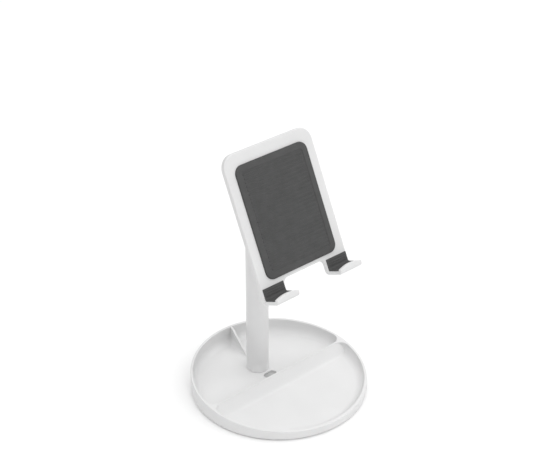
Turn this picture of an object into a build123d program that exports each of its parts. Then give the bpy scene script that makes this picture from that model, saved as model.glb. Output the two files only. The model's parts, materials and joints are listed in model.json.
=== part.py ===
from build123d import *
import os
from math import atan2, cos, radians, sin, sqrt

# Desktop phone stand: a round desk tray with a slanted rim carries an upright tube,
# and a two-hook cradle tilts on a friction hinge at the top of the tube.
# Millimetres. Origin at the centre of the foot pad's underside, X along the hinge axis,
# +Y away from the user, +Z up.

# ---- driving dimensions -------------------------------------------------------------
tray_radius = 51.2            # outside of the tray wall
rim_height = 9.35             # rim plane above the table, at the tray's centre
rim_slope = 0.076             # rise of the rim per millimetre of Y
rim_thickness = 1.5
rim_rounding = 0.45
floor_top = 2.8
foot_pad_thickness = 0.8
foot_pad_radius = 48.8
divider_thickness = 1.2
divider_y = 0.0               # middle of the wall between the front and rear compartments
ramp_drop = 0.5               # its front stands upright for this much below the rim
ramp_run = 5.2                # its front slopes down to the floor over this distance
corner_radius = 5.0           # upright corners of the compartments
floor_fillet = 4.6            # between the compartments' walls and the floor

column_y = 18.9               # axis of the upright tube
column_radius = 6.55
tube_wall = 1.4
tube_top = 104.0
pivot_z = 120.0               # hinge axis, on the tube's own axis

cradle_tilt = 26.0            # from the vertical, at rest
cradle_y = -24.2              # where the phone's back meets its bottom edge, at rest
cradle_z = 85.0
cradle_width = 61.5
cradle_top = 79.0             # up the slope from the phone's bottom edge
plate_thickness = 3.0
plate_corner = 8.0
hook_inner = 15.0             # half of the cable gap between the hooks
phone_gap = 8.2               # depth of the space that the hooks hold
lip_thickness = 2.2
back_pad_proud = 1.0          # the back pad stands out of the plate by this much
liner_thickness = 1.2         # soft liner in each hook
trough_thickness = 2.0

knuckle_width = 9.0
knuckle_radius = 6.0
cheek_gap = 10.0              # between the yoke's two cheeks
yoke_width = 20.0
bolt_radius = 2.0
running_gap = 0.05            # round the bolt, and beside each friction washer

reach = 40.0                  # longer than any cut that it makes
hair = 0.001                  # two places closer than this are the same
sample_places = (0, 0.3, 0.5, 1)  # along an edge, where its place is tested
sharp_angle = 20.0            # degrees between two faces, past which their edge is sharp
os.makedirs("parts", exist_ok=True)


def save(builder, name):
    """Name a finished piece and write it to its own STEP file."""
    builder.part.label = name
    export_step(builder.part, f"parts/{name}.step")


# ---- planes and axes ----------------------------------------------------------------
rim_plane = Plane(origin=(0, 0, rim_height), z_dir=(0, -rim_slope, 1))
tilt = radians(cradle_tilt)
slope_up = Vector(0, sin(tilt), cos(tilt))
slope_out = Vector(0, -cos(tilt), sin(tilt))
cradle_foot = Vector(0, cradle_y, cradle_z)
pivot = Vector(0, column_y, pivot_z)
# on the face: x across the cradle, y up its slope, z out towards the user
cradle_face = Plane(origin=cradle_foot, x_dir=(1, 0, 0), z_dir=slope_out)
# from the side: x out towards the user, y up the slope
cradle_side = Plane(origin=cradle_foot, x_dir=slope_out, z_dir=(-1, 0, 0))
pivot_out = (pivot - cradle_foot).dot(slope_out)
pivot_up = (pivot - cradle_foot).dot(slope_up)


def on_column(height):
    """A level plane centred on the column's axis."""
    return Plane(origin=(0, column_y, height))


def on_hinge(offset):
    """A plane square to the hinge axis, at this distance along X."""
    return Plane(origin=(offset, column_y, pivot_z), x_dir=(0, 1, 0), z_dir=(1, 0, 0))


# ---- base tray ----------------------------------------------------------------------
wall_inner = tray_radius - rim_thickness
floor_thickness = 1.0
weight_top = floor_top - floor_thickness
weight_radius = 45.8
weight_clearance = 0.2
blank_height = 30.0
foot_rounding = 0.5

boss_radius = 5.05            # spigot that the tube slides over
boss_top = 7.8
boss_roof = 2.0
screw_cavity = 4.1
screw_clearance = 2.2

window_length = 8.2           # slot in the floor in front of the column, down to the weight
window_width = 5.2
window_x = 0.7
window_y = 8.6
window_rounding = 0.3
ramp_blend = 3.0              # between the divider's slope and the floor

rib_rim_x = 4.9               # where the rear rib meets the rim
rib_thickness = 1.2
rib_start = 11.6              # along the rib, from the column's axis
rib_end = 31.4
rib_low = 3.1
rib_high = 14.0
rib_flare = 0.9               # of the rib's height, up to the floor fillet's size
rib_bearing = atan2(rib_rim_x, sqrt(wall_inner**2 - rib_rim_x**2) - column_y)


def compartment(wall_y, side):
    """The hollow on one side of the divider: a D with filleted corners and floor."""
    with BuildPart(mode=Mode.PRIVATE) as hollow:
        with BuildSketch(Plane.XY.offset(floor_top)):
            Circle(wall_inner)
            with Locations((0, wall_y - side * 2 * reach)):
                Rectangle(4 * reach, 4 * reach, mode=Mode.SUBTRACT)
            fillet(vertices(), corner_radius)
        extrude(amount=blank_height)
        fillet(hollow.faces().sort_by(Axis.Z)[0].edges(), floor_fillet)
    return hollow.part


def rib_section(distance, top):
    """Cross-section of the rear rib: a thin wall that flares into the floor."""
    flare = rib_flare * min(top - floor_top, floor_fillet)
    root = floor_top - floor_thickness / 2
    half = rib_thickness / 2
    across = Plane(
        origin=(0, column_y, 0),
        x_dir=(-cos(rib_bearing), sin(rib_bearing), 0),
        z_dir=(sin(rib_bearing), cos(rib_bearing), 0),
    ).offset(distance)
    with BuildSketch(across, mode=Mode.PRIVATE) as section:
        with BuildLine():
            Line((0, root), (-half - flare, root))
            Line((-half - flare, root), (-half - flare, floor_top))
            RadiusArc((-half - flare, floor_top), (-half, floor_top + flare), -flare)
            Line((-half, floor_top + flare), (-half, top))
            Line((-half, top), (0, top))
            mirror(about=Plane.YZ)
        make_face()
    return section.sketch


def divider_ramp(wall_y):
    """The slope on the divider's front, blended into the floor."""
    root = floor_top - floor_thickness / 2
    with BuildPart(mode=Mode.PRIVATE) as ramp:
        with BuildSketch(Plane.YZ):
            with BuildLine():
                Polyline(
                    (wall_y - ramp_run - ramp_blend, root), (wall_y - ramp_run - ramp_blend, floor_top),
                    (wall_y - ramp_run, floor_top), (wall_y, rim_height - ramp_drop),
                    (wall_y + divider_thickness / 2, rim_height - ramp_drop),
                    (wall_y + divider_thickness / 2, root), (wall_y - ramp_run - ramp_blend, root),
                )
            make_face()
            fillet(vertices().sort_by_distance((wall_y - ramp_run, floor_top))[0], ramp_blend)
        extrude(amount=tray_radius, both=True)
    return ramp.part


front_wall_y = divider_y - divider_thickness / 2
front_hollow = compartment(front_wall_y, -1) - divider_ramp(front_wall_y)
rear_hollow = compartment(divider_y + divider_thickness / 2, 1)

# the rib falls in a straight line from the rim to the floor behind the column
with BuildPart(mode=Mode.PRIVATE) as rear_rib:
    add(rib_section(rib_start, rib_low))
    add(rib_section(rib_end, rib_high))
    loft(ruled=True)
    split(bisect_by=rim_plane, keep=Keep.BOTTOM)
    with BuildSketch():
        Circle(wall_inner + rim_thickness / 2)
    extrude(amount=blank_height, mode=Mode.INTERSECT)


def on_rim(edge):
    """True for an edge that lies in the slanted rim plane."""
    return all(abs((edge @ t - rim_plane.origin).dot(rim_plane.z_dir)) < hair for t in sample_places)


def on_window_mouth(edge):
    """True for an edge of the window that lies in the tray's floor."""
    place = edge.center() - Vector(window_x, window_y, floor_top)
    near = abs(place.X) < window_length / 2 + hair and abs(place.Y) < window_width / 2 + hair
    return near and abs(place.Z) < hair


with BuildPart() as base_tray:
    with BuildSketch(Plane.XY.offset(foot_pad_thickness)):
        Circle(tray_radius)
    extrude(amount=blank_height)
    split(bisect_by=rim_plane, keep=Keep.BOTTOM)
    fillet(base_tray.faces().sort_by(Axis.Z)[0].edges(), foot_rounding)
    add(front_hollow, mode=Mode.SUBTRACT)
    add(rear_hollow, mode=Mode.SUBTRACT)
    add(rear_rib.part)
    fillet(base_tray.edges().filter_by(on_rim), rim_rounding)
    # recess for the weight
    with BuildSketch(Plane.XY.offset(foot_pad_thickness)):
        Circle(weight_radius + weight_clearance)
    extrude(amount=weight_top - foot_pad_thickness, mode=Mode.SUBTRACT)
    # spigot for the tube, hollow from below for the screw and its washer
    with BuildSketch(on_column(floor_top - floor_thickness / 2)):
        Circle(boss_radius)
    extrude(amount=boss_top - floor_top + floor_thickness / 2)
    with BuildSketch(on_column(foot_pad_thickness)):
        Circle(screw_cavity)
    extrude(amount=boss_top - boss_roof - foot_pad_thickness, mode=Mode.SUBTRACT)
    with BuildSketch(on_column(foot_pad_thickness)):
        Circle(screw_clearance)
    extrude(amount=boss_top, mode=Mode.SUBTRACT)
    # window through the floor
    with BuildSketch(Plane.XY.offset(foot_pad_thickness)):
        with Locations((window_x, window_y)):
            SlotOverall(window_length, window_width)
    extrude(amount=floor_top, mode=Mode.SUBTRACT)
    fillet(base_tray.edges().filter_by(on_window_mouth), window_rounding)
save(base_tray, "base_tray")

# ---- weight, foot pad and the fixing of the column ----------------------------------
weight_hole = 4.6
screw_head_radius = 3.5
screw_head_height = 2.4
screw_shank = 1.95
screw_tip = 17.0
drive_across = 2.5
drive_depth = 1.4
washer_thickness = 0.8
washer_outer = 3.9
washer_inner = 2.15
plug_radius = 5.12
plug_top = 20.0
plug_thread = 2.0
plug_lead = 0.4
washer_top = boss_top - boss_roof
head_top = washer_top - washer_thickness

with BuildPart() as counterweight_plate:
    with BuildSketch(Plane.XY.offset(foot_pad_thickness)):
        Circle(weight_radius)
        with Locations((0, column_y)):
            Circle(weight_hole, mode=Mode.SUBTRACT)
    extrude(amount=weight_top - foot_pad_thickness)
save(counterweight_plate, "counterweight_plate")

with BuildPart() as foot_pad:
    with BuildSketch():
        Circle(foot_pad_radius)
    extrude(amount=foot_pad_thickness)
    chamfer(foot_pad.faces().sort_by(Axis.Z)[0].edges(), foot_pad_thickness / 4)
save(foot_pad, "foot_pad")

with BuildPart() as column_washer:
    with BuildSketch(on_column(head_top)):
        Circle(washer_outer)
        Circle(washer_inner, mode=Mode.SUBTRACT)
    extrude(amount=washer_thickness)
save(column_washer, "column_washer")

with BuildPart() as column_screw:
    with BuildSketch(on_column(head_top - screw_head_height)):
        Circle(screw_head_radius)
    extrude(amount=screw_head_height)
    fillet(column_screw.faces().sort_by(Axis.Z)[0].edges(), screw_head_height / 3)
    with BuildSketch(on_column(head_top)):
        Circle(screw_shank)
    extrude(amount=screw_tip - head_top)
    chamfer(column_screw.faces().sort_by(Axis.Z)[-1].edges(), screw_shank / 4)
    with BuildSketch(on_column(head_top - screw_head_height)):
        RegularPolygon(drive_across / 2, 6, major_radius=False)
    extrude(amount=drive_depth, mode=Mode.SUBTRACT)
save(column_screw, "column_screw")

with BuildPart() as column_foot_plug:
    with BuildSketch(on_column(boss_top)):
        Circle(plug_radius)
        Circle(plug_thread, mode=Mode.SUBTRACT)
    extrude(amount=plug_top - boss_top)
    chamfer(column_foot_plug.faces().sort_by(Axis.Z)[-1].edges(), plug_lead)
save(column_foot_plug, "column_foot_plug")

# ---- column -------------------------------------------------------------------------
tube_inner = column_radius - tube_wall
tube_rounding = 0.3
grub_z = 98.0
grub_radius = 1.5
grub_length = 5.0
grub_sink = 0.25
grub_drive = 1.5

with BuildPart() as column_tube:
    with BuildSketch(on_column(floor_top)):
        Circle(column_radius)
        Circle(tube_inner, mode=Mode.SUBTRACT)
    extrude(amount=tube_top - floor_top)
    outer_ends = column_tube.edges().filter_by(GeomType.CIRCLE).filter_by(lambda e: e.radius > column_radius - hair)
    fillet(outer_ends, tube_rounding)
    # threaded hole for the yoke's set screw, at the back
    with BuildSketch(Plane(origin=(0, column_y, grub_z), z_dir=(0, 1, 0))):
        Circle(grub_radius + running_gap)
    extrude(amount=2 * column_radius, mode=Mode.SUBTRACT)
save(column_tube, "column_tube")

# ---- hinge yoke at the top of the tube ----------------------------------------------
yoke_plug_radius = 5.1
yoke_plug_length = 13.0
yoke_plug_lead = 0.6
collar_height = 2.5
yoke_depth = 2 * column_radius
yoke_square_z = 112.0         # above this height the yoke is a rounded block
slot_floor_z = 113.0
yoke_edge = 1.0
cheek_edge = 0.4
cap_recess_radius = 5.4
cap_recess_depth = 1.2
head_pocket_radius = 4.0
head_pocket_floor = 6.4       # distances from the middle of the hinge, along X
nut_pocket_floor = 6.1
nut_across = 7.0
nut_clearance = 0.1
yoke_half = yoke_width / 2
cap_seat = yoke_half - cap_recess_depth

with BuildPart(mode=Mode.PRIVATE) as yoke_head:
    with BuildSketch(on_hinge(-yoke_half)):
        Circle(column_radius)
    extrude(amount=yoke_width)
    fillet(yoke_head.edges().filter_by(GeomType.CIRCLE), yoke_edge)


def on_cheek(edge):
    """True for an outside edge of one of the faces that the knuckle turns between."""
    inner = all(abs(abs((edge @ t).X) - cheek_gap / 2) < hair for t in sample_places)
    return inner and (edge @ 0.5).Z > slot_floor_z + hair


with BuildPart() as hinge_yoke:
    with BuildSketch(on_column(tube_top - yoke_plug_length)):
        Circle(yoke_plug_radius)
    extrude(amount=yoke_plug_length)
    chamfer(hinge_yoke.faces().sort_by(Axis.Z)[0].edges(), yoke_plug_lead)
    with BuildSketch(on_column(tube_top)):
        Circle(column_radius)
    extrude(amount=collar_height)
    # round collar to rounded block
    with BuildSketch(on_column(tube_top + collar_height)):
        Circle(column_radius)
    with BuildSketch(on_column(yoke_square_z)):
        RectangleRounded(yoke_width, yoke_depth, yoke_edge)
    loft()
    with BuildSketch(on_column(yoke_square_z)):
        RectangleRounded(yoke_width, yoke_depth, yoke_edge)
    extrude(amount=pivot_z - yoke_square_z)
    add(yoke_head.part)
    # slot for the knuckle, open at the front, top and back
    with BuildSketch(on_column(slot_floor_z)):
        Rectangle(cheek_gap, 2 * yoke_depth)
    extrude(amount=reach, mode=Mode.SUBTRACT)
    fillet(hinge_yoke.edges().filter_by(on_cheek), cheek_edge)
    # bolt hole, cap recesses, round pocket for the bolt head and hex pocket for the nut
    with BuildSketch(on_hinge(-yoke_half)):
        Circle(bolt_radius + 2 * running_gap)
    extrude(amount=yoke_width, mode=Mode.SUBTRACT)
    with BuildSketch(on_hinge(cap_seat), on_hinge(-yoke_half)):
        Circle(cap_recess_radius)
    extrude(amount=cap_recess_depth, mode=Mode.SUBTRACT)
    with BuildSketch(on_hinge(-cap_seat)):
        Circle(head_pocket_radius)
    extrude(amount=cap_seat - head_pocket_floor, mode=Mode.SUBTRACT)
    with BuildSketch(on_hinge(nut_pocket_floor)):
        RegularPolygon(nut_across / 2 + nut_clearance, 6, major_radius=False)
    extrude(amount=cap_seat - nut_pocket_floor, mode=Mode.SUBTRACT)
    # blind hole for the set screw
    with BuildSketch(Plane(origin=(0, column_y, grub_z), z_dir=(0, 1, 0))):
        Circle(grub_radius + running_gap)
    extrude(amount=2 * column_radius, mode=Mode.SUBTRACT)
save(hinge_yoke, "hinge_yoke")

with BuildPart() as yoke_set_screw:
    outer_end = column_radius - grub_sink
    with BuildSketch(Plane(origin=(0, column_y + outer_end - grub_length, grub_z), z_dir=(0, 1, 0))):
        Circle(grub_radius)
    extrude(amount=grub_length)
    with BuildSketch(Plane(origin=(0, column_y + outer_end, grub_z), z_dir=(0, -1, 0))):
        RegularPolygon(grub_drive / 2, 6, major_radius=False)
    extrude(amount=grub_drive, mode=Mode.SUBTRACT)
save(yoke_set_screw, "yoke_set_screw")

# ---- hinge hardware -----------------------------------------------------------------
bolt_head_radius = 3.8
bolt_head_height = 2.2
bolt_end = 8.6
nut_height = 2.1
spring_height = 0.5
spring_outer = 3.4
friction_outer = 5.8
sleeve_outer = 3.2
cap_radius = 5.35
cap_dome = 0.7

with BuildPart() as hinge_bolt:
    with BuildSketch(on_hinge(-head_pocket_floor - bolt_head_height)):
        Circle(bolt_head_radius)
    extrude(amount=bolt_head_height)
    fillet(hinge_bolt.faces().sort_by(Axis.X)[0].edges(), bolt_head_height / 2)
    with BuildSketch(on_hinge(-head_pocket_floor)):
        Circle(bolt_radius)
    extrude(amount=head_pocket_floor + bolt_end)
    chamfer(hinge_bolt.faces().sort_by(Axis.X)[-1].edges(), bolt_radius / 5)
    with BuildSketch(on_hinge(-head_pocket_floor - bolt_head_height)):
        RegularPolygon(drive_across / 2, 6, major_radius=False)
    extrude(amount=drive_depth, mode=Mode.SUBTRACT)
save(hinge_bolt, "hinge_bolt")

with BuildPart() as hinge_spring_washer:
    with BuildSketch(on_hinge(nut_pocket_floor)):
        Circle(spring_outer)
        Circle(bolt_radius + running_gap, mode=Mode.SUBTRACT)
    extrude(amount=spring_height)
save(hinge_spring_washer, "hinge_spring_washer")

with BuildPart() as hinge_nut:
    with BuildSketch(on_hinge(nut_pocket_floor + spring_height)):
        RegularPolygon(nut_across / 2, 6, major_radius=False)
        Circle(bolt_radius + running_gap / 2, mode=Mode.SUBTRACT)
    extrude(amount=nut_height)
save(hinge_nut, "hinge_nut")

with BuildPart() as friction_washers:
    for side in (-1, 1):
        inner_face = side * (knuckle_width / 2 + running_gap)
        with BuildSketch(on_hinge(inner_face)):
            Circle(friction_outer)
            Circle(bolt_radius + 2 * running_gap, mode=Mode.SUBTRACT)
        extrude(amount=side * (cheek_gap / 2 - knuckle_width / 2 - running_gap))
save(friction_washers, "friction_washers")

with BuildPart() as knuckle_sleeve:
    with BuildSketch(on_hinge(-knuckle_width / 2)):
        Circle(sleeve_outer)
        Circle(bolt_radius + running_gap, mode=Mode.SUBTRACT)
    extrude(amount=knuckle_width)
save(knuckle_sleeve, "knuckle_sleeve")


def hinge_cap(side):
    """A domed cap that closes one end of the hinge."""
    with BuildPart() as cap:
        with BuildSketch(on_hinge(side * cap_seat)):
            Circle(cap_radius)
        extrude(amount=side * (cap_recess_depth + cap_dome))
        fillet(cap.faces().sort_by(Axis.X)[-1 if side > 0 else 0].edges(), cap_dome)
    return cap


save(hinge_cap(-1), "hinge_cap_left")
save(hinge_cap(1), "hinge_cap_right")

# ---- cradle plate with its two hooks ------------------------------------------------
half_width = cradle_width / 2
plate_front = -back_pad_proud
plate_back = plate_front - plate_thickness
trough_top = -liner_thickness
trough_bottom = trough_top - trough_thickness
lip_inner = phone_gap
lip_outer = phone_gap + lip_thickness
lip_end = -0.2                # lip height at each end of a hook
lip_middle = 1.2              # and in its middle
lip_clearance = 0.3           # by which a cut passes the lip's faces
hook_width = half_width - hook_inner
hook_middle = (half_width + hook_inner) / 2
heel_radius = 2.6
toe_radius = 2.2
lip_root_radius = 0.3
trough_radius = 0.6
notch_top = 6.0
notch_corner = 3.5
recess_depth = 0.6
recess_width = 50.0
recess_low = 8.0
recess_high = 72.0
recess_corner = 5.0
screw_across = 9.5            # half of the spacing of the cradle screws
screw_along = 12.0
csk_radius = 2.8
csk_depth = 1.4
shank_radius = 1.4
plate_edge = 0.6              # rounding of every outside edge
recess_floor = plate_front - recess_depth


def at_cradle_screws():
    """The four cradle screws' places on the face plane, round the hinge."""
    return [
        (x, pivot_up + y)
        for x in (-screw_across, screw_across)
        for y in (-screw_along, screw_along)
    ]


def sharp_edges(part):
    """The edges where two faces of a part meet at an angle."""
    found = []
    for edge in part.edges():
        middle = edge @ 0.5
        sides = [face for face in part.faces() if any(edge.is_same(other) for other in face.edges())]
        if sides[0].normal_at(middle).get_angle(sides[-1].normal_at(middle)) > sharp_angle:
            found.append(edge)
    return found


with BuildPart() as cradle_plate:
    # plate
    with BuildSketch(cradle_face.offset(plate_back)):
        with BuildLine():
            Polyline(
                (-half_width, 0), (-half_width, cradle_top), (half_width, cradle_top),
                (half_width, 0), (-half_width, 0),
            )
        make_face()
        fillet(vertices().group_by(Axis.Y)[-1], plate_corner)
    extrude(amount=plate_thickness)
    # hooks: one J-shaped profile across the whole width, parted by the cable gap
    with BuildSketch(cradle_side):
        with BuildLine():
            Polyline(
                (plate_back, trough_bottom), (lip_outer, trough_bottom), (lip_outer, lip_middle),
                (lip_inner, lip_middle), (lip_inner, trough_top), (plate_front, trough_top),
                (plate_front, notch_top), (plate_back, notch_top), (plate_back, trough_bottom),
            )
        make_face()
        fillet(vertices().sort_by_distance((plate_back, trough_bottom))[0], heel_radius)
        fillet(vertices().sort_by_distance((lip_outer, trough_bottom))[0], toe_radius)
        fillet(vertices().sort_by_distance((lip_inner, trough_top))[0], lip_root_radius)
        fillet(vertices().sort_by_distance((plate_front, trough_top))[0], trough_radius)
    extrude(amount=half_width, both=True)
    # cable gap, with rounded upper corners
    with BuildSketch(cradle_face.offset(plate_back - plate_thickness)):
        with Locations((0, notch_top - reach / 2)):
            Rectangle(2 * hook_inner, reach)
        fillet(vertices().group_by(Axis.Y)[-1], notch_corner)
    extrude(amount=reach, mode=Mode.SUBTRACT)
    # each lip is highest in its middle
    for side in (-1, 1):
        near = (side * hook_inner, lip_end)
        far = (side * half_width, lip_end)
        with BuildSketch(cradle_face.offset(lip_inner - lip_clearance)):
            with BuildLine():
                ThreePointArc(near, (side * hook_middle, lip_middle), far)
                Line(far, (side * half_width, notch_top))
                Line((side * half_width, notch_top), (side * hook_inner, notch_top))
                Line((side * hook_inner, notch_top), near)
            make_face()
        extrude(amount=lip_thickness + 2 * lip_clearance, mode=Mode.SUBTRACT)
    fillet(sharp_edges(cradle_plate.part), plate_edge)
    # recess for the back pad
    with BuildSketch(cradle_face.offset(recess_floor)):
        with Locations((0, (recess_low + recess_high) / 2)):
            RectangleRounded(recess_width, recess_high - recess_low, recess_corner)
    extrude(amount=recess_depth, mode=Mode.SUBTRACT)
    with Locations(cradle_face.offset(recess_floor)):
        with Locations(*at_cradle_screws()):
            CounterSinkHole(shank_radius + 2 * running_gap, csk_radius + 2 * running_gap)
save(cradle_plate, "cradle_plate")

# ---- hinge lug on the back of the plate ---------------------------------------------
flange_thickness = 4.0
flange_width = 27.0
flange_height = 34.0
flange_corner = 4.0
flange_edge = 0.8
arm_half = 5.0
arm_flare = 4.0
arm_root = 1.0                # by which the arm reaches into the flange
flange_back = plate_back - flange_thickness
pilot_depth = 3.4

with BuildPart() as hinge_lug:
    with BuildSketch(cradle_face.offset(flange_back)):
        with Locations((0, pivot_up)):
            RectangleRounded(flange_width, flange_height, flange_corner)
    extrude(amount=flange_thickness)
    fillet(hinge_lug.faces().sort_by(Axis(cradle_foot, slope_out))[0].edges(), flange_edge)
    # arm and knuckle, the arm spreading where it meets the flange
    with BuildSketch(cradle_side):
        with Locations((pivot_out, pivot_up)):
            Circle(knuckle_radius)
        with BuildLine():
            Polyline(
                (pivot_out, pivot_up - arm_half), (flange_back - arm_flare, pivot_up - arm_half),
                (flange_back + arm_root, pivot_up - arm_half - arm_flare - arm_root),
                (flange_back + arm_root, pivot_up + arm_half + arm_flare + arm_root),
                (flange_back - arm_flare, pivot_up + arm_half), (pivot_out, pivot_up + arm_half),
                (pivot_out, pivot_up - arm_half),
            )
        make_face()
    extrude(amount=knuckle_width / 2, both=True)
    with BuildSketch(on_hinge(-knuckle_width / 2)):
        Circle(sleeve_outer)
    extrude(amount=knuckle_width, mode=Mode.SUBTRACT)
    with BuildSketch(cradle_face.offset(plate_back)):
        with Locations(*at_cradle_screws()):
            Circle(shank_radius)
    extrude(amount=-pilot_depth, mode=Mode.SUBTRACT)
save(hinge_lug, "hinge_lug")

# ---- cradle screws, under the back pad ----------------------------------------------
screw_length = 5.4
screw_drive = 0.9

with BuildPart() as cradle_screws:
    for place in at_cradle_screws():
        with BuildSketch(cradle_face.offset(recess_floor)):
            with Locations(place):
                Circle(csk_radius)
        with BuildSketch(cradle_face.offset(recess_floor - csk_depth)):
            with Locations(place):
                Circle(shank_radius)
        loft()
        with BuildSketch(cradle_face.offset(recess_floor - csk_depth)):
            with Locations(place):
                Circle(shank_radius)
        extrude(amount=csk_depth - screw_length)
        with BuildSketch(cradle_face.offset(recess_floor)):
            with Locations(place):
                RegularPolygon(screw_drive, 6)
        extrude(amount=-screw_drive, mode=Mode.SUBTRACT)
save(cradle_screws, "cradle_screws")

# ---- soft pads ----------------------------------------------------------------------
pad_clearance = 0.15
pad_rounding = 0.4
liner_rise = 5.4              # the liners climb the plate to this height
liner_side = 0.75             # bare edge of the hook beside each liner
liner_end = lip_inner - 0.7   # and in front of it
liner_corner = 0.8

with BuildPart() as back_pad:
    with BuildSketch(cradle_face.offset(recess_floor)):
        with Locations((0, (recess_low + recess_high) / 2)):
            RectangleRounded(
                recess_width - 2 * pad_clearance, recess_high - recess_low - 2 * pad_clearance,
                recess_corner - pad_clearance,
            )
    extrude(amount=recess_depth + back_pad_proud)
    fillet(back_pad.faces().sort_by(Axis(cradle_foot, slope_out))[-1].edges(), pad_rounding)
save(back_pad, "back_pad")


def hook_liner(side):
    """The soft strip that lines one hook, up the plate and along the trough."""
    with BuildPart() as liner:
        with BuildSketch(cradle_side.offset(-side * hook_middle)):
            with BuildLine():
                Polyline(
                    (plate_front, trough_top), (liner_end, trough_top), (liner_end, 0),
                    (0, 0), (0, liner_rise), (plate_front, liner_rise), (plate_front, trough_top),
                )
            make_face()
            fillet(vertices().sort_by_distance((plate_front, trough_top))[0], trough_radius)
            fillet(vertices().sort_by_distance((0, 0))[0], liner_corner)
        extrude(amount=hook_width / 2 - liner_side, both=True)
    return liner


save(hook_liner(-1), "hook_liner_left")
save(hook_liner(1), "hook_liner_right")
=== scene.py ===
import json
import math

import bmesh
import bpy
from mathutils import Matrix, Vector


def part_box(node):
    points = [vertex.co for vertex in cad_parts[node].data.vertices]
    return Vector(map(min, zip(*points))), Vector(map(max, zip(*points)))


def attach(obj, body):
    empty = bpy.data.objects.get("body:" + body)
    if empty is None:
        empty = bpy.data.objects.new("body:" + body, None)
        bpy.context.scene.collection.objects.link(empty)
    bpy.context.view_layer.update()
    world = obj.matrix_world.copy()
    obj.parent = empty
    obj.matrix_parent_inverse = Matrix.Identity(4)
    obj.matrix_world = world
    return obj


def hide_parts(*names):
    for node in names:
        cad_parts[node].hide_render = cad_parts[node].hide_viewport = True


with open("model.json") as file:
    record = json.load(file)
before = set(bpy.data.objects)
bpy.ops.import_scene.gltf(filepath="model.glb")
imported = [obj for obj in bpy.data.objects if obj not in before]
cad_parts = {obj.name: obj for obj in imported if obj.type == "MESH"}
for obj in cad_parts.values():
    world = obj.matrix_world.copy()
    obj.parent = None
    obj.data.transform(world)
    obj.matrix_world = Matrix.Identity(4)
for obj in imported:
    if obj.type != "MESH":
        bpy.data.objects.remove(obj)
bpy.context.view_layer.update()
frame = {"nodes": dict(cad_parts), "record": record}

nodes = frame["nodes"]
mounts = {m["name"]: m for m in frame["record"]["mounts"]}

hair = 1e-6                  # metres: two places closer than this are the same
weld = 1e-7                  # corners closer than this are made one
slots_of_the_record = {p["node"]: p["material_slot"] for p in frame["record"]["subparts"]}


# ---- camera, studio and table --------------------------------------------------------
def aimed(obj, target):
    """Turn a lamp so that it shines at a point."""
    obj.rotation_euler = (Vector(target) - obj.location).to_track_quat("-Z", "Y").to_euler()


def camera():
    place = (-0.43381, -0.49620, 0.49948)
    tilt, heading = 59.322, -40.9715
    data = bpy.data.cameras.new("camera")
    data.sensor_width = 36
    data.lens = 92.09
    data.dof.use_dof = False
    cam = bpy.data.objects.new("camera", data)
    cam.location = place
    cam.rotation_euler = (math.radians(tilt), 0, math.radians(heading))
    bpy.context.scene.collection.objects.link(cam)
    bpy.context.scene.camera = cam


def softbox(name, place, size, watts):
    """A square soft lamp aimed at the stand."""
    stand_middle = (0, 0, 0.06)
    data = bpy.data.lights.new(name, "AREA")
    data.shape = "SQUARE"
    data.size = size
    data.energy = watts
    lamp = bpy.data.objects.new(name, data)
    lamp.location = place
    aimed(lamp, stand_middle)
    bpy.context.scene.collection.objects.link(lamp)


def studio():
    """A room that looks white and lights mostly from above, and two soft lamps in front."""
    level_light, overhead_light = 0.14, 1.47
    world = bpy.data.worlds.new("white_room")
    world.use_nodes = True
    tree = world.node_tree
    sky = tree.nodes["Background"]
    sky.inputs["Color"].default_value = (1, 1, 1, 1)
    direction = tree.nodes.new("ShaderNodeTexCoord")
    split = tree.nodes.new("ShaderNodeSeparateXYZ")
    rise = tree.nodes.new("ShaderNodeMapRange")
    rise.inputs["From Min"].default_value = 0.0
    rise.inputs["From Max"].default_value = 1.0
    rise.inputs["To Min"].default_value = level_light
    rise.inputs["To Max"].default_value = overhead_light
    path = tree.nodes.new("ShaderNodeLightPath")
    seen_white = tree.nodes.new("ShaderNodeMath")
    seen_white.operation = "MAXIMUM"
    tree.links.new(direction.outputs["Generated"], split.inputs["Vector"])
    tree.links.new(split.outputs["Z"], rise.inputs["Value"])
    tree.links.new(rise.outputs["Result"], seen_white.inputs[0])
    tree.links.new(path.outputs["Is Camera Ray"], seen_white.inputs[1])
    tree.links.new(seen_white.outputs[0], sky.inputs["Strength"])
    bpy.context.scene.world = world
    softbox("key_softbox", (0.75, -0.45, 0.95), 0.9, 1.9)
    softbox("front_softbox", (-0.15, -1.1, 0.8), 0.8, 2.7)
    bpy.context.scene.view_settings.view_transform = "Standard"


# ---- shared surface effects ----------------------------------------------------------
def new_group(name, inputs, outputs):
    """A node group with these sockets: name to type for inputs and for outputs."""
    group = bpy.data.node_groups.new(name, "ShaderNodeTree")
    for label, kind in inputs.items():
        group.interface.new_socket(name=label, in_out="INPUT", socket_type="NodeSocket" + kind)
    for label, kind in outputs.items():
        group.interface.new_socket(name=label, in_out="OUTPUT", socket_type="NodeSocket" + kind)
    return group, group.nodes.new("NodeGroupInput"), group.nodes.new("NodeGroupOutput")


def stretched(group):
    """A range node that spreads a noise's middle values over the whole of a new range."""
    low, high = 0.3, 0.7
    node = group.nodes.new("ShaderNodeMapRange")
    node.inputs["From Min"].default_value = low
    node.inputs["From Max"].default_value = high
    return node


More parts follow.
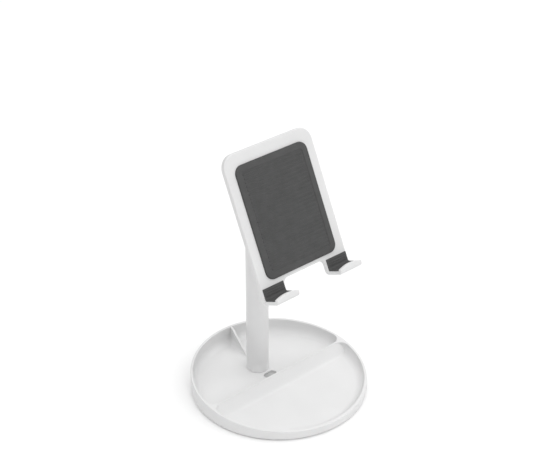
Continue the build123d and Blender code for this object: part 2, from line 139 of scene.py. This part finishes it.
def grain_group():
    """Fine grain of a moulded or coated skin: drifting tone, uneven gloss and a tiny relief."""
    drift_share, grain_depth = 0.6, 0.00006
    group, given, out = new_group(
        "skin_grain",
        {"Place": "Vector", "Light tone": "Color", "Dark tone": "Color", "Grain scale": "Float",
         "Drift scale": "Float", "Smooth": "Float", "Rough": "Float", "Relief": "Float"},
        {"Color": "Color", "Roughness": "Float", "Normal": "Vector"},
    )
    n, link = group.nodes.new, group.links.new
    drift = n("ShaderNodeTexNoise")
    drift.inputs["Detail"].default_value = 3
    link(given.outputs["Place"], drift.inputs["Vector"])
    link(given.outputs["Drift scale"], drift.inputs["Scale"])
    spread = stretched(group)
    link(drift.outputs["Fac"], spread.inputs["Value"])
    tone = n("ShaderNodeMix")
    tone.data_type = "RGBA"
    link(spread.outputs["Result"], tone.inputs["Factor"])
    link(given.outputs["Dark tone"], tone.inputs["A"])
    link(given.outputs["Light tone"], tone.inputs["B"])
    link(tone.outputs["Result"], out.inputs["Color"])
    grain = n("ShaderNodeTexNoise")
    grain.inputs["Detail"].default_value = 4
    grain.inputs["Roughness"].default_value = 0.55
    link(given.outputs["Place"], grain.inputs["Vector"])
    link(given.outputs["Grain scale"], grain.inputs["Scale"])
    gloss = stretched(group)
    both = n("ShaderNodeMath")
    both.operation = "MULTIPLY_ADD"
    both.inputs[1].default_value = drift_share
    rest = n("ShaderNodeMath")
    rest.operation = "MULTIPLY"
    rest.inputs[1].default_value = 1 - drift_share
    link(grain.outputs["Fac"], rest.inputs[0])
    link(drift.outputs["Fac"], both.inputs[0])
    link(rest.outputs[0], both.inputs[2])
    link(both.outputs[0], gloss.inputs["Value"])
    link(given.outputs["Smooth"], gloss.inputs["To Min"])
    link(given.outputs["Rough"], gloss.inputs["To Max"])
    link(gloss.outputs["Result"], out.inputs["Roughness"])
    relief = n("ShaderNodeBump")
    relief.inputs["Distance"].default_value = grain_depth
    link(given.outputs["Relief"], relief.inputs["Strength"])
    link(grain.outputs["Fac"], relief.inputs["Height"])
    link(relief.outputs["Normal"], out.inputs["Normal"])
    return group


def brushed_group():
    """Hairlines of a drawn, rolled or turned metal: streaks along one direction."""
    hairline_depth = 0.00002
    group, given, out = new_group(
        "metal_hairlines",
        {"Place": "Vector", "Light tone": "Color", "Dark tone": "Color", "Smooth": "Float",
         "Rough": "Float", "Relief": "Float"},
        {"Color": "Color", "Roughness": "Float", "Normal": "Vector"},
    )
    n, link = group.nodes.new, group.links.new
    streaks = n("ShaderNodeTexNoise")
    streaks.inputs["Scale"].default_value = 1
    streaks.inputs["Detail"].default_value = 5
    link(given.outputs["Place"], streaks.inputs["Vector"])
    tone = n("ShaderNodeMix")
    tone.data_type = "RGBA"
    link(streaks.outputs["Fac"], tone.inputs["Factor"])
    link(given.outputs["Dark tone"], tone.inputs["A"])
    link(given.outputs["Light tone"], tone.inputs["B"])
    link(tone.outputs["Result"], out.inputs["Color"])
    gloss = stretched(group)
    link(streaks.outputs["Fac"], gloss.inputs["Value"])
    link(given.outputs["Smooth"], gloss.inputs["To Min"])
    link(given.outputs["Rough"], gloss.inputs["To Max"])
    link(gloss.outputs["Result"], out.inputs["Roughness"])
    relief = n("ShaderNodeBump")
    relief.inputs["Distance"].default_value = hairline_depth
    link(given.outputs["Relief"], relief.inputs["Strength"])
    link(streaks.outputs["Fac"], relief.inputs["Height"])
    link(relief.outputs["Normal"], out.inputs["Normal"])
    return group


# ---- materials -----------------------------------------------------------------------
def finish(name, group, values, stretch=(1, 1, 1), metallic=0.0, specular=0.5, coat=0.0, glow=0.0):
    """A material whose skin comes from a shared group with this finish's own values."""
    mat = bpy.data.materials.new(name)
    mat.use_nodes = True
    tree = mat.node_tree
    shader = tree.nodes["Principled BSDF"]
    shader.inputs["Metallic"].default_value = metallic
    shader.inputs["Specular IOR Level"].default_value = specular
    shader.inputs["Coat Weight"].default_value = coat
    shader.inputs["Emission Color"].default_value = (1, 1, 1, 1)
    shader.inputs["Emission Strength"].default_value = glow
    coords = tree.nodes.new("ShaderNodeTexCoord")
    mapping = tree.nodes.new("ShaderNodeMapping")
    mapping.inputs["Scale"].default_value = stretch
    tree.links.new(coords.outputs["Object"], mapping.inputs["Vector"])
    skin = tree.nodes.new("ShaderNodeGroup")
    skin.node_tree = group
    tree.links.new(mapping.outputs["Vector"], skin.inputs["Place"])
    for label, value in values.items():
        skin.inputs[label].default_value = value
    tree.links.new(skin.outputs["Color"], shader.inputs["Base Color"])
    tree.links.new(skin.outputs["Roughness"], shader.inputs["Roughness"])
    tree.links.new(skin.outputs["Normal"], shader.inputs["Normal"])
    return mat


def grey(value, warm=0.0):
    return (value * (1 + warm), value, value * (1 - warm), 1)


def materials():
    grain, hairlines = grain_group(), brushed_group()
    made = {}
    made["white_plastic"] = finish(
        "white_plastic", grain,
        {"Light tone": grey(0.745), "Dark tone": grey(0.715), "Grain scale": 2600, "Drift scale": 42,
         "Smooth": 0.36, "Rough": 0.50, "Relief": 0.22})
    made["white_coated_tube"] = finish(
        "white_coated_tube", grain,
        {"Light tone": grey(0.745), "Dark tone": grey(0.715), "Grain scale": 1500, "Drift scale": 55,
         "Smooth": 0.30, "Rough": 0.42, "Relief": 0.30}, coat=0.15)
    made["grey_silicone"] = finish(
        "grey_silicone", grain,
        {"Light tone": grey(0.078), "Dark tone": grey(0.064), "Grain scale": 3200, "Drift scale": 260,
         "Smooth": 0.55, "Rough": 0.74, "Relief": 0.4}, specular=0.35)
    made["foot_rubber"] = finish(
        "foot_rubber", grain,
        {"Light tone": grey(0.24), "Dark tone": grey(0.17), "Grain scale": 2200, "Drift scale": 160,
         "Smooth": 0.68, "Rough": 0.85, "Relief": 0.6}, specular=0.3)
    made["natural_nylon"] = finish(
        "natural_nylon", grain,
        {"Light tone": grey(0.80, 0.04), "Dark tone": grey(0.74, 0.05), "Grain scale": 1800,
         "Drift scale": 200, "Smooth": 0.40, "Rough": 0.55, "Relief": 0.15})
    made["galvanised_plate"] = finish(
        "galvanised_plate", hairlines,
        {"Light tone": grey(0.62), "Dark tone": grey(0.48), "Smooth": 0.30, "Rough": 0.46,
         "Relief": 0.3}, stretch=(60, 1400, 1400), metallic=1)
    made["zinc_steel"] = finish(
        "zinc_steel", hairlines,
        {"Light tone": grey(0.70), "Dark tone": grey(0.56), "Smooth": 0.22, "Rough": 0.36,
         "Relief": 0.3}, stretch=(4000, 900, 900), metallic=1)
    made["brass_insert"] = finish(
        "brass_insert", hairlines,
        {"Light tone": (0.83, 0.66, 0.33, 1), "Dark tone": (0.72, 0.55, 0.25, 1), "Smooth": 0.24,
         "Rough": 0.38, "Relief": 0.3}, stretch=(900, 900, 4500), metallic=1)
    made["black_steel"] = finish(
        "black_steel", hairlines,
        {"Light tone": grey(0.05), "Dark tone": grey(0.025), "Smooth": 0.35, "Rough": 0.5,
         "Relief": 0.3}, stretch=(900, 4500, 900), metallic=0.6)
    made["pale_table"] = finish(
        "pale_table", grain,
        {"Light tone": grey(0.905), "Dark tone": grey(0.895), "Grain scale": 900, "Drift scale": 3,
         "Smooth": 0.75, "Rough": 0.85, "Relief": 0.05}, specular=0.2, glow=0.06)
    return made


# ---- pieces --------------------------------------------------------------------------
def cradle_place(origin, out):
    """Matrix of the cradle's face: x across, y up the slope, z out to the user."""
    out = Vector(out).normalized()
    across = Vector((1, 0, 0))
    up = out.cross(across)
    turn = Matrix((across, up, out)).transposed().to_4x4()
    return Matrix.Translation(Vector(origin)) @ turn


def new_piece(name, bm, mat, body, stands_for):
    """Close a mesh into a named piece that rides on a body in the place of a plain solid."""
    crease = 35
    bmesh.ops.remove_doubles(bm, verts=bm.verts, dist=weld)
    bmesh.ops.recalc_face_normals(bm, faces=bm.faces)
    data = bpy.data.meshes.new(name)
    bm.to_mesh(data)
    bm.free()
    data.materials.append(mat)
    piece = bpy.data.objects.new(name, data)
    bpy.context.scene.collection.objects.link(piece)
    data.shade_smooth()
    data.set_sharp_from_angle(angle=math.radians(crease))
    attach(piece, body)
    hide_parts(stands_for)


def rounded_bar(bm, centre, size, rounding):
    """A soft-edged bar added to a mesh."""
    made = bmesh.ops.create_cube(bm, size=1)
    bmesh.ops.scale(bm, vec=size, verts=made["verts"])
    bmesh.ops.translate(bm, vec=centre, verts=made["verts"])
    edges = dict.fromkeys(e for v in made["verts"] for e in v.link_edges)
    rounded_edges(bm, list(edges), rounding, 2)


def raised(bm, faces, vec):
    """Extrude faces along a vector."""
    grown = bmesh.ops.extrude_face_region(bm, geom=faces)["geom"]
    bmesh.ops.translate(bm, vec=vec, verts=[g for g in grown if isinstance(g, bmesh.types.BMVert)])


def rounded_edges(bm, edges, rounding, segments):
    """Round some edges of a mesh."""
    bmesh.ops.bevel(bm, geom=edges, affect="EDGES", offset=rounding, segments=segments,
                    profile=0.5, material=-1)


def moulded_back_pad(mat):
    """The soft pad that the phone leans on: a plain border round a field of low ribs."""
    width, height, thick, corner = 0.0497, 0.0637, 0.0016, 0.00485
    border, sink, sink_slope = 0.0032, 0.0003, 0.00025
    rib_pitch, rib_width, rib_thick, rib_rounding = 0.0022, 0.0009, 0.0006, 0.00022
    end_gap, row_gap, rib_drop = 0.0009, 0.0012, 0.00005
    bm = bmesh.new()
    bmesh.ops.create_grid(bm, x_segments=1, y_segments=1, size=0.5)
    bmesh.ops.scale(bm, vec=(width, height, 1), verts=bm.verts)
    bmesh.ops.translate(bm, vec=(0, 0, -thick), verts=bm.verts)
    bmesh.ops.bevel(bm, geom=bm.verts[:], affect="VERTICES", offset=corner, segments=10,
                    profile=0.5, material=-1)
    raised(bm, bm.faces[:], (0, 0, thick))
    rounded_edges(bm, [e for e in bm.edges if all(v.co.z > -hair for v in e.verts)], 0.0004, 4)
    top = [max(bm.faces, key=lambda f: (f.normal.z > 0.99) * f.calc_area())]
    bmesh.ops.inset_region(bm, faces=top, thickness=border, depth=0)
    bmesh.ops.inset_region(bm, faces=top, thickness=sink_slope, depth=-sink)
    rib = (width - 2 * border - 2 * end_gap, rib_width, rib_thick)
    rows = int((height / 2 - border - row_gap) / rib_pitch)
    for row in range(-rows, rows + 1):
        rounded_bar(bm, (0, row * rib_pitch, -sink - rib_drop), rib, rib_rounding)
    rest = mounts["phone_rest"]
    bmesh.ops.transform(bm, matrix=cradle_place(rest["pos_m"], rest["axis"]), verts=bm.verts)
    new_piece("moulded_back_pad", bm, mat, "cradle", "back_pad")


def moulded_liner(side, mat):
    """The soft strip in one hook: it runs down the plate and along the trough, with cross ribs."""
    half, thick, sink = 0.007125, 0.0012, 0.00022
    back, front, top = -0.0010, 0.0075, 0.0054
    inner_rounding, heel_rounding, edge_rounding = 0.0008, 0.0006, 0.00018
    shortest_edge, sharp = 0.0009, 1.2
    rib_length, rib_width, rib_thick, rib_drop = 2 * half - 0.0016, 0.00052, 0.0006, 0.00004
    trough_ribs, trough_first, trough_pitch = 4, 0.0015, 0.0015
    plate_ribs, plate_first, plate_pitch = 3, 0.0016, 0.0014
    bm = bmesh.new()
    outline = [(back, top), (back, -thick), (front, -thick), (front, -sink), (-sink, -sink), (-sink, top)]
    raised(bm, [bm.faces.new([bm.verts.new((-half, v, d)) for d, v in outline])], (2 * half, 0, 0))
    inner = [e for e in bm.edges if all(abs(v.co.y + sink) < hair and abs(v.co.z + sink) < hair
                                        for v in e.verts)]
    rounded_edges(bm, inner, inner_rounding, 5)
    heel = [e for e in bm.edges if all(abs(v.co.y + thick) < hair and abs(v.co.z - back) < hair
                                       for v in e.verts)]
    rounded_edges(bm, heel, heel_rounding, 4)
    outer = [e for e in bm.edges if e.calc_length() > shortest_edge
             and all(v.co.y > -thick + hair and v.co.z > back + hair for v in e.verts)
             and len(e.link_faces) == 2 and e.calc_face_angle() > sharp]
    rounded_edges(bm, outer, edge_rounding, 3)
    for step in range(trough_ribs):
        place = (0, -sink - rib_drop, trough_first + step * trough_pitch)
        rounded_bar(bm, place, (rib_length, rib_width, rib_thick), edge_rounding)
    for step in range(plate_ribs):
        place = (0, plate_first + step * plate_pitch, -sink - rib_drop)
        rounded_bar(bm, place, (rib_length, rib_thick, rib_width), edge_rounding)
    name = "left" if side < 0 else "right"
    trough_depth = 0.0036
    out = Vector(mounts["phone_rest"]["axis"])
    origin = Vector(mounts["hook_rest_" + name]["pos_m"]) - trough_depth * out.normalized()
    bmesh.ops.transform(bm, matrix=cradle_place(origin, out), verts=bm.verts)
    new_piece("moulded_liner_" + name, bm, mat, "cradle", "hook_liner_" + name)


def ringed_foot_pad(mat):
    """The rubber disc under the tray, with shallow rings on its underside."""
    rings, ring_gap, ring_width, ring_depth = 5, 0.0022, 0.0012, 0.0003
    low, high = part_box("foot_pad")
    radius = (high.x - low.x) / 2
    bm = bmesh.new()
    bmesh.ops.create_circle(bm, cap_ends=True, radius=radius, segments=160)
    bmesh.ops.translate(bm, vec=(0, 0, high.z), verts=bm.verts)
    raised(bm, bm.faces[:], (0, 0, low.z - high.z))
    rounded_edges(bm, [e for e in bm.edges if all(v.co.z < low.z + weld for v in e.verts)], 0.0002, 3)
    under = [max(bm.faces, key=lambda f: (f.normal.z < -0.99) * f.calc_area())]
    for ring in range(rings):
        bmesh.ops.inset_region(bm, faces=under, thickness=ring_gap, depth=0)
        bmesh.ops.inset_region(bm, faces=under, thickness=ring_depth, depth=-ring_depth)
        bmesh.ops.inset_region(bm, faces=under, thickness=ring_width, depth=0)
        bmesh.ops.inset_region(bm, faces=under, thickness=ring_depth, depth=ring_depth)
    new_piece("ringed_foot_pad", bm, mat, "stand", "foot_pad")


def table_top(mat):
    """The pale table, a hair below the foot pad."""
    half_width, below = 3, 0.00002
    bm = bmesh.new()
    bmesh.ops.create_grid(bm, x_segments=1, y_segments=1, size=half_width)
    bmesh.ops.translate(bm, vec=(0, 0, -below), verts=bm.verts)
    data = bpy.data.meshes.new("table_top")
    bm.to_mesh(data)
    bm.free()
    data.materials.append(mat)
    table = bpy.data.objects.new("table_top", data)
    bpy.context.scene.collection.objects.link(table)


# ---- the whole stand -----------------------------------------------------------------
camera()
studio()
skins = materials()
for name, node in nodes.items():
    node.data.materials.clear()
    node.data.materials.append(skins[slots_of_the_record[name]])
moulded_back_pad(skins["grey_silicone"])
moulded_liner(-1, skins["grey_silicone"])
moulded_liner(1, skins["grey_silicone"])
ringed_foot_pad(skins["foot_rubber"])
table_top(skins["pale_table"])
